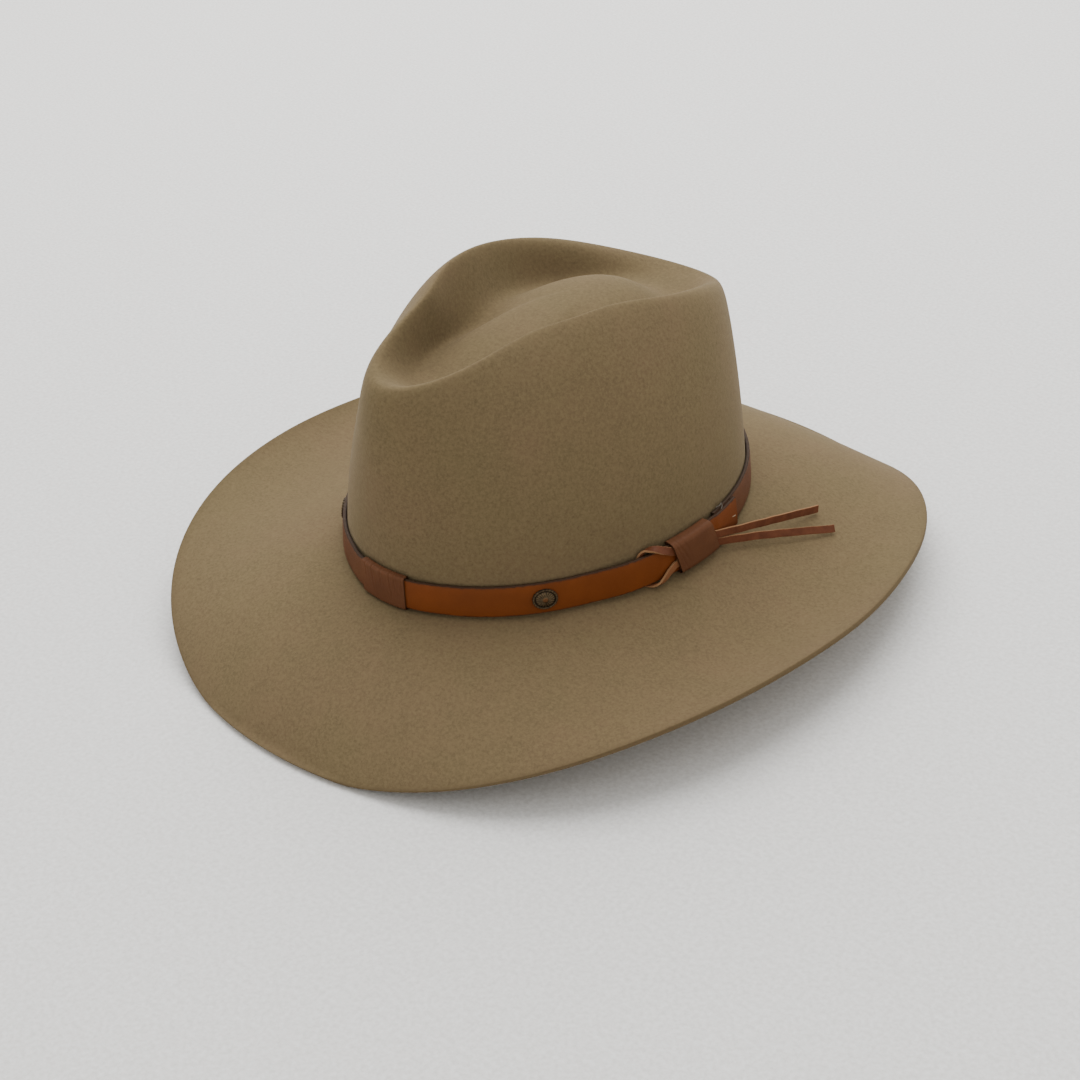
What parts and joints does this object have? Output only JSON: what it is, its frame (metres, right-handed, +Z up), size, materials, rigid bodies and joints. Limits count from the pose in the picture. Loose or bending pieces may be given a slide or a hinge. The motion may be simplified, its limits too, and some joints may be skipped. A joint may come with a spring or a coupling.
{
  "type": "felt hat",
  "caption": "Wide-brimmed felt hat with a teardrop-creased crown, a curled brim, a leather band with small oval conchos, and a lace looped through a keeper.",
  "frame": {"origin": "on the surface that the hat rests on, under the middle of its brim", "axes": "+Z up, -Y towards the front of the hat, +X towards the wearer's left"},
  "size_m": [0.3254, 0.3608, 0.152],
  "materials": {
    "felt": "brushed fur felt, soft short nap",
    "strap_leather": "waxed, satin, with dark burnished edges",
    "brown_leather": "oiled, soft satin",
    "antique_brass": "darkened, worn bright on the high spots"
  },
  "bodies": {
    "root": {"felt_body": "felt", "front_strap": "strap_leather", "back_strap": "brown_leather", "front_wrap": "brown_leather", "keeper": "brown_leather", "lace_bight": "brown_leather", "lace_tail_upper": "brown_leather", "lace_tail_lower": "brown_leather", "concho_left": "antique_brass", "concho_right": "antique_brass"}
  },
  "joints": []
}
